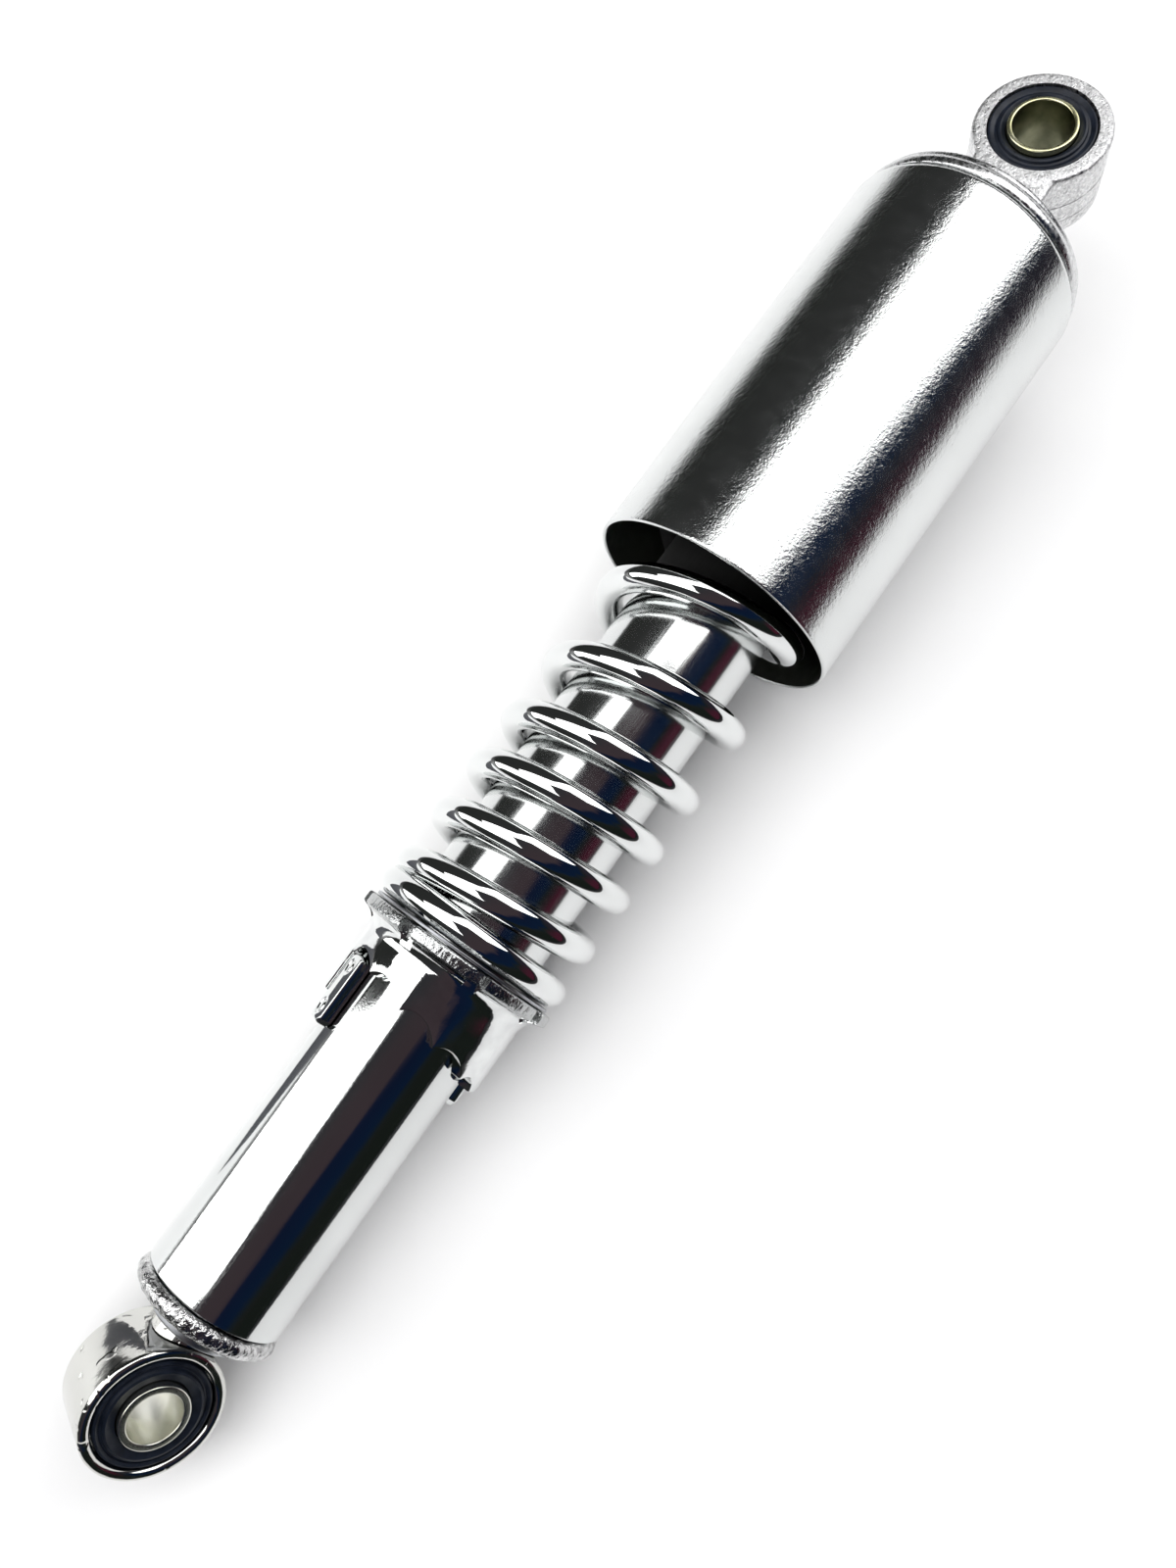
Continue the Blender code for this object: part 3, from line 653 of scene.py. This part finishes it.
def make_cover():
    outside = arc((26.0, 284.4), 2.0, 90, 0, 8)
    lip = [(28.0, 189.9), (28.05, 189.5), (28.0, 189.15), (27.75, 189.0), (27.4, 189.0), (27.2, 189.25)]
    inside = arc((26.0, 284.4), 1.2, 0, 90, 5)
    profile = [(7.9, 286.4), *outside, *lip, (27.2, 190.2), *inside, (7.9, 285.6)]
    first = 1 + len(outside) + len(lip) - 2
    painted = range(first + 1, len(profile) - 1)
    mesh = turned("cover_piece", in_mm(profile), 256, painted)
    piece("cover_piece", mesh, "upper_unit", ["cover", "paint"], ["cover"])


def solid(name, mesh, place):
    mesh.transform(place)
    return linked(name, mesh)


def boolean(obj, other, operation):
    modifier = obj.modifiers.new("boolean", "BOOLEAN")
    modifier.operation = operation
    modifier.solver = "EXACT"
    modifier.object = other


def settle(obj):
    """The object's mesh with its modifiers applied."""
    bpy.context.view_layer.update()
    graph = bpy.context.evaluated_depsgraph_get()
    return bpy.data.meshes.new_from_object(obj.evaluated_get(graph))


def cast_block(name, size, centre, edge):
    shape = bmesh.new()
    bmesh.ops.create_cube(shape, size=1)
    bmesh.ops.scale(shape, vec=[side * MM for side in size], verts=shape.verts)
    bmesh.ops.translate(shape, vec=[side * MM for side in centre], verts=shape.verts)
    bmesh.ops.bevel(shape, geom=shape.edges[:], offset=edge * MM, segments=4, affect="EDGES", profile=0.5)
    return from_bmesh(name, shape)


def make_upper_eye():
    """The casting: the disc, the neck and the drum are joined, remeshed so that they blend, and bored."""
    eye = across(UPPER_EYE_THETA, EYE_TO_EYE)
    disc = [(0, 291.4), (25.4, 291.4), (26.0, 291.2), (26.35, 290.7), (26.5, 289.3), (26.9, 289.0)]
    disc += [(27.15, 288.6), (27.2, 287.2), (27.0, 286.75), (7.6, 286.7), (7.6, 281), (0, 281)]
    base = solid("disc", turned("disc", in_mm(disc), 192), Matrix.Identity(4))
    turn = Matrix.Rotation(UPPER_EYE_THETA, 4, "Z")
    neck = solid("neck", cast_block("neck", (16.8, 19.5, 20), (0, 0, 300.5), 1.2), turn)
    foot = solid("foot", cast_block("foot", (21, 25, 3.2), (0, 0, 291.6), 1.4), turn)
    drum = solid("drum", turned("drum", rounded_drum(15.2, 8.7, 0.8), 160), eye)
    for part in (neck, foot, drum):
        boolean(base, part, "UNION")
    remesh = base.modifiers.new("blend", "REMESH")
    remesh.mode = "VOXEL"
    remesh.voxel_size = 0.42 * MM
    smooth = base.modifiers.new("soften", "SMOOTH")
    smooth.factor = 0.5
    smooth.iterations = 3
    bore = solid("bore", turned("bore", in_mm([(0, 20), (12.0, 20), (12.0, -20), (0, -20)]), 160), eye)
    boolean(base, bore, "DIFFERENCE")
    socket = turned("socket", in_mm([(0, 299.4), (5.3, 299.4), (5.3, 279), (0, 279)]), 64)
    socket = solid("socket", socket, Matrix.Identity(4))
    boolean(base, socket, "DIFFERENCE")
    mesh = settle(base)
    mesh.name = "upper_eye_piece"
    for obj in (base, neck, foot, drum, bore, socket):
        bpy.data.objects.remove(obj)
    piece("upper_eye_piece", mesh, "upper_unit", ["cast"], ["upper_eye"], sharp=40)
    name = "upper_bush_rubber_piece"
    mesh = turned(name, bush_profile(11.7, 7.95, 8.4, 9.3, 0.5))
    piece(name, mesh, "upper_unit", ["rubber"], ["upper_bush_rubber"], eye)
    name = "upper_bush_sleeve_piece"
    # The sleeve's bore takes the darker zinc look: painted shade inside it.
    shaded_bore_edge = 14
    mesh = turned(name, rounded_ring(6.6, 7.65, -9.45, 9.45, 0.3), 144, [shaded_bore_edge])
    piece(name, mesh, "upper_unit", ["gold", "bore"], ["upper_bush_sleeve"], eye)


def rounded_drum(radius, half, edge):
    """The drum's section, with the low parting ridge of its mould at half width."""
    points = [(0, half)] + arc((radius - edge, half - edge), edge, 90, 0, 5)
    points += [(radius - 0.02, 0.35), (radius + 0.12, 0.15), (radius + 0.12, -0.15), (radius - 0.02, -0.35)]
    points += arc((radius - edge, -half + edge), edge, 0, -90, 5) + [(0, -half)]
    return in_mm(points)


# Carried over from the CAD


def dress(nodes, look):
    for name in nodes:
        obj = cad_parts[name]
        for slot in obj.material_slots:
            slot.material = LOOKS[look].material
        obj.data.shade_smooth()


def dress_inner_parts():
    dress(["lower_eye_weld"], "eye")
    dress(["foot_valve", "inner_cylinder", "rod_guide", "upper_spring_seat"], "steel")
    dress(["piston", "piston_nut", "check_plate", "rebound_stop", "rod_lock_nut"], "steel")
    dress(["oil_seal", "bump_stop"], "rubber")
    dress(["piston_ring"], "bronze")
    dress(["piston_rod", "seal_cap"], "rod")


# Surroundings

FLOOR_SLOPE = -0.0663
MIDDLE = 0.15
CARD_LIGHT = 2.6
CARD_HEIGHT = 0.6
CARD_LOW_EDGE = 0.06
FILL_WATTS = 18
# The picture's right and its far side, on the floor, and then the ways along the shock and across it.
FLOOR_UP = (0.067, 0, 0.998)
RIGHT = Vector((0.5782, -0.8145, -0.0384)).normalized()
AWAY = Vector(FLOOR_UP).cross(RIGHT).normalized()
ALONG = RIGHT * 0.578 + AWAY * 0.816
SIDE = RIGHT * 0.816 - AWAY * 0.578


def floor_height(x):
    """The surface slopes a little under the shock, which rests on its collar and cover, and then levels."""
    low, high, ease = -0.06, 0.46, 0.12
    middle = -0.0224 + FLOOR_SLOPE * (min(max(x, low), high) - 0.1)
    if x < low:
        gap = min(low - x, ease)
        return middle - FLOOR_SLOPE * (gap - gap * gap / 2 / ease)
    if x > high:
        gap = min(x - high, ease)
        return middle + FLOOR_SLOPE * (gap - gap * gap / 2 / ease)
    return middle


def floor_mesh(name, lift, reach):
    """A white floor, with its look and that look's colour."""
    shape = bmesh.new()
    xs = [MIDDLE - reach, -0.5] + [-0.22 + 0.02 * i for i in range(42)] + [0.8, MIDDLE + reach]
    ys = [-reach, -0.5, 0.5, reach]
    grid = [[shape.verts.new((x, y, floor_height(x) + lift)) for y in ys] for x in xs]
    for i in range(len(xs) - 1):
        for j in range(len(ys) - 1):
            shape.faces.new((grid[i][j], grid[i + 1][j], grid[i + 1][j + 1], grid[i][j + 1]))
    mesh = from_bmesh(name, shape)
    mesh.shade_smooth()
    look = Look(f"{name}_look", (0.9, 0.9, 0.9), 0.6, 0.0)
    white = look.mix(look.ramp(look.noise(6, 3), 0.3, 0.7), (0.9, 0.9, 0.9), (0.88, 0.88, 0.88))
    look.to("Base Color", white)
    mesh.materials.append(look.material)
    return mesh, look, white


def make_floor():
    """A white floor. The shock's reflections show it ending in the dark room, a little past the shock."""
    floor = linked("floor", floor_mesh("floor", 0, 0.95)[0])
    floor.visible_glossy = False
    mesh, look, white = floor_mesh("floor_reflection", 0.0002, 3.2)
    parts = look.add("ShaderNodeSeparateXYZ", [(0, look.place())]).outputs
    left = look.ramp(parts[1], 0.33, 0.4)
    right = look.ramp(look.math("SUBTRACT", look.math("MULTIPLY", parts[0], -0.6), parts[1]), 0.23, 0.28)
    look.to("Base Color", look.mix(look.math("MAXIMUM", left, right), white, (0.03, 0.03, 0.03)))
    only_reflected("floor_reflection", mesh)


def only_reflected(name, mesh):
    """A thing beside the shock that only its reflections show."""
    obj = linked(name, mesh)
    for rays in ("camera", "diffuse", "shadow", "transmission"):
        setattr(obj, f"visible_{rays}", False)


def make_card():
    """A white card overhead, bent down at its far left side, which only lights and is reflected."""
    # Its outline, as places along and across the shock, in shares of its height.
    outline = [(-3.8, -6), (-1.1, -6), (-0.42, -1.32), (-0.08, -1.45), (0.33, -0.57), (0.52, -0.37)]
    outline += [(0.93, -0.34), (2.2, -0.3), (2.2, 1.6), (1.32, 1.14), (0.8, 0.77), (0.59, 0.59)]
    outline += [(0.385, 0.42), (0.35, 0.0), (-0.1, -0.32), (-0.29, -0.21), (-0.64, -0.11), (-0.85, 0.0)]
    centre = Vector((MIDDLE, 0, 0))
    up = AWAY.cross(-RIGHT).normalized()

    def corner(place, level):
        return centre + (up * level + ALONG * place[0] + SIDE * place[1]) * CARD_HEIGHT

    shape = bmesh.new()
    verts = [shape.verts.new(corner(place, 1)) for place in outline]
    shape.faces.new(verts)
    low = [shape.verts.new(corner(outline[i], CARD_LOW_EDGE)) for i in (1, 0)]
    shape.faces.new([verts[0], verts[1], *low])
    mesh = from_bmesh("window", shape)
    look = Look("window_look", (0, 0, 0), 1.0, 0.0)
    look.shader.inputs["Emission Color"].default_value = (1, 1, 1, 1)
    look.shader.inputs["Emission Strength"].default_value = CARD_LIGHT
    mesh.materials.append(look.material)
    card = linked("window", mesh)
    card.visible_camera = False


def make_dark_strip():
    """Something dark beside the shock's lower end."""
    shape = bmesh.new()
    corners = [(-0.12, 0.06), (0.081, 0.07), (0.055, 0.5), (-0.4, 0.5)]
    shape.faces.new([shape.verts.new((x, y, floor_height(x) + 0.0005)) for x, y in corners])
    mesh = from_bmesh("dark_strip", shape)
    look = Look("dark_strip_look", (0.09, 0.09, 0.11), 0.8, 0.0)
    tone = look.ramp(look.noise(9, 2), 0.3, 0.7)
    look.to("Base Color", look.mix(tone, (0.035, 0.038, 0.042), (0.055, 0.055, 0.07)))
    mesh.materials.append(look.material)
    only_reflected("dark_strip", mesh)


def make_fill():
    """A soft light that reflections don't show."""
    light = bpy.data.lights.new("soft_fill", "AREA")
    light.shape = "RECTANGLE"
    light.size, light.size_y = 1.6, 1.6
    light.energy = FILL_WATTS
    fill = linked("soft_fill", light)
    fill.location = (MIDDLE, 0.1, 1.3)
    fill.visible_glossy = False


def make_world():
    """A dark room. Its tint changes round the shock: grey to its left, then navy, green and wine red."""
    world = bpy.data.worlds.new("room")
    bpy.context.scene.world = world
    world.use_nodes = True
    w = Tree(world.node_tree)
    place = w.add("ShaderNodeTexCoord").outputs["Generated"]
    turn = w.math("ARCTAN2", w.dot(place, SIDE), w.dot(place, FLOOR_UP))
    shift = w.math("MULTIPLY", w.noise(3.0, where=place), 0.06)
    share = w.math("ADD", w.math("ADD", w.ramp(turn, -pi, pi), shift), -0.03)
    ramp = w.add("ShaderNodeValToRGB", [("Fac", share)])
    stops = ramp.color_ramp.elements
    # Degrees past straight up, and the room's colour there.
    colours = [
        (-100, (0.024, 0.026, 0.024)),
        (-40, (0.03, 0.031, 0.031)),
        (-8, (0.036, 0.036, 0.04)),
        (10, (0.048, 0.037, 0.042)),
        (30, (0.05, 0.036, 0.042)),
        (38, (0.005, 0.010, 0.03)),
        (58, (0.004, 0.012, 0.034)),
        (66, (0.012, 0.016, 0.016)),
        (76, (0.03, 0.014, 0.019)),
        (86, (0.06, 0.012, 0.024)),
        (97, (0.05, 0.012, 0.022)),
    ]
    for i, (angle, colour) in enumerate(colours):
        stop = stops[i] if i < 2 else stops.new((angle + 180) / 360)
        stop.position = (angle + 180) / 360
        stop.color = (*colour, 1)
    ahead = w.dot(place, ALONG)
    beside = w.ramp(turn, 1.05, 1.25)
    green = w.math("MULTIPLY", w.ramp(ahead, 0.02, -0.12), beside)
    slate = w.math("MULTIPLY", w.ramp(ahead, 0.45, 0.65), beside)
    tint = w.mix(green, ramp.outputs["Color"], (0.010, 0.013, 0.011))
    tint = w.mix(slate, tint, (0.022, 0.020, 0.028))
    # A picture from low down shows the floor's white going on behind it.
    seen = w.add("ShaderNodeLightPath").outputs["Is Camera Ray"]
    tint = w.mix(seen, tint, (1, 1, 1))
    w.tree.links.new(tint, w.tree.nodes["Background"].inputs["Color"])


def make_camera():
    camera = bpy.data.cameras.new("camera")
    camera.lens = 28.31
    camera.sensor_width = 36
    camera.clip_start = 0.01
    obj = linked("camera", camera)
    ahead = Vector((0.1483, 0.1513, -0.97736)).normalized()
    above = Vector((0.8018, 0.5594, 0.2082))
    right = ahead.cross(above).normalized()
    turn = Matrix((right, right.cross(ahead), -ahead)).transposed()
    obj.matrix_world = Matrix.Translation((0.1056, -0.03914, 0.24763)) @ turn.to_4x4()
    bpy.context.scene.camera = obj


make_lower_eye()
make_bottom()
make_lugs()
make_collar()
make_spring()
make_cover()
make_upper_eye()
dress_inner_parts()
make_floor()
make_card()
make_dark_strip()
make_fill()
make_world()
make_camera()
bpy.context.scene.view_settings.view_transform = "Standard"
bpy.context.scene.view_settings.look = "None"
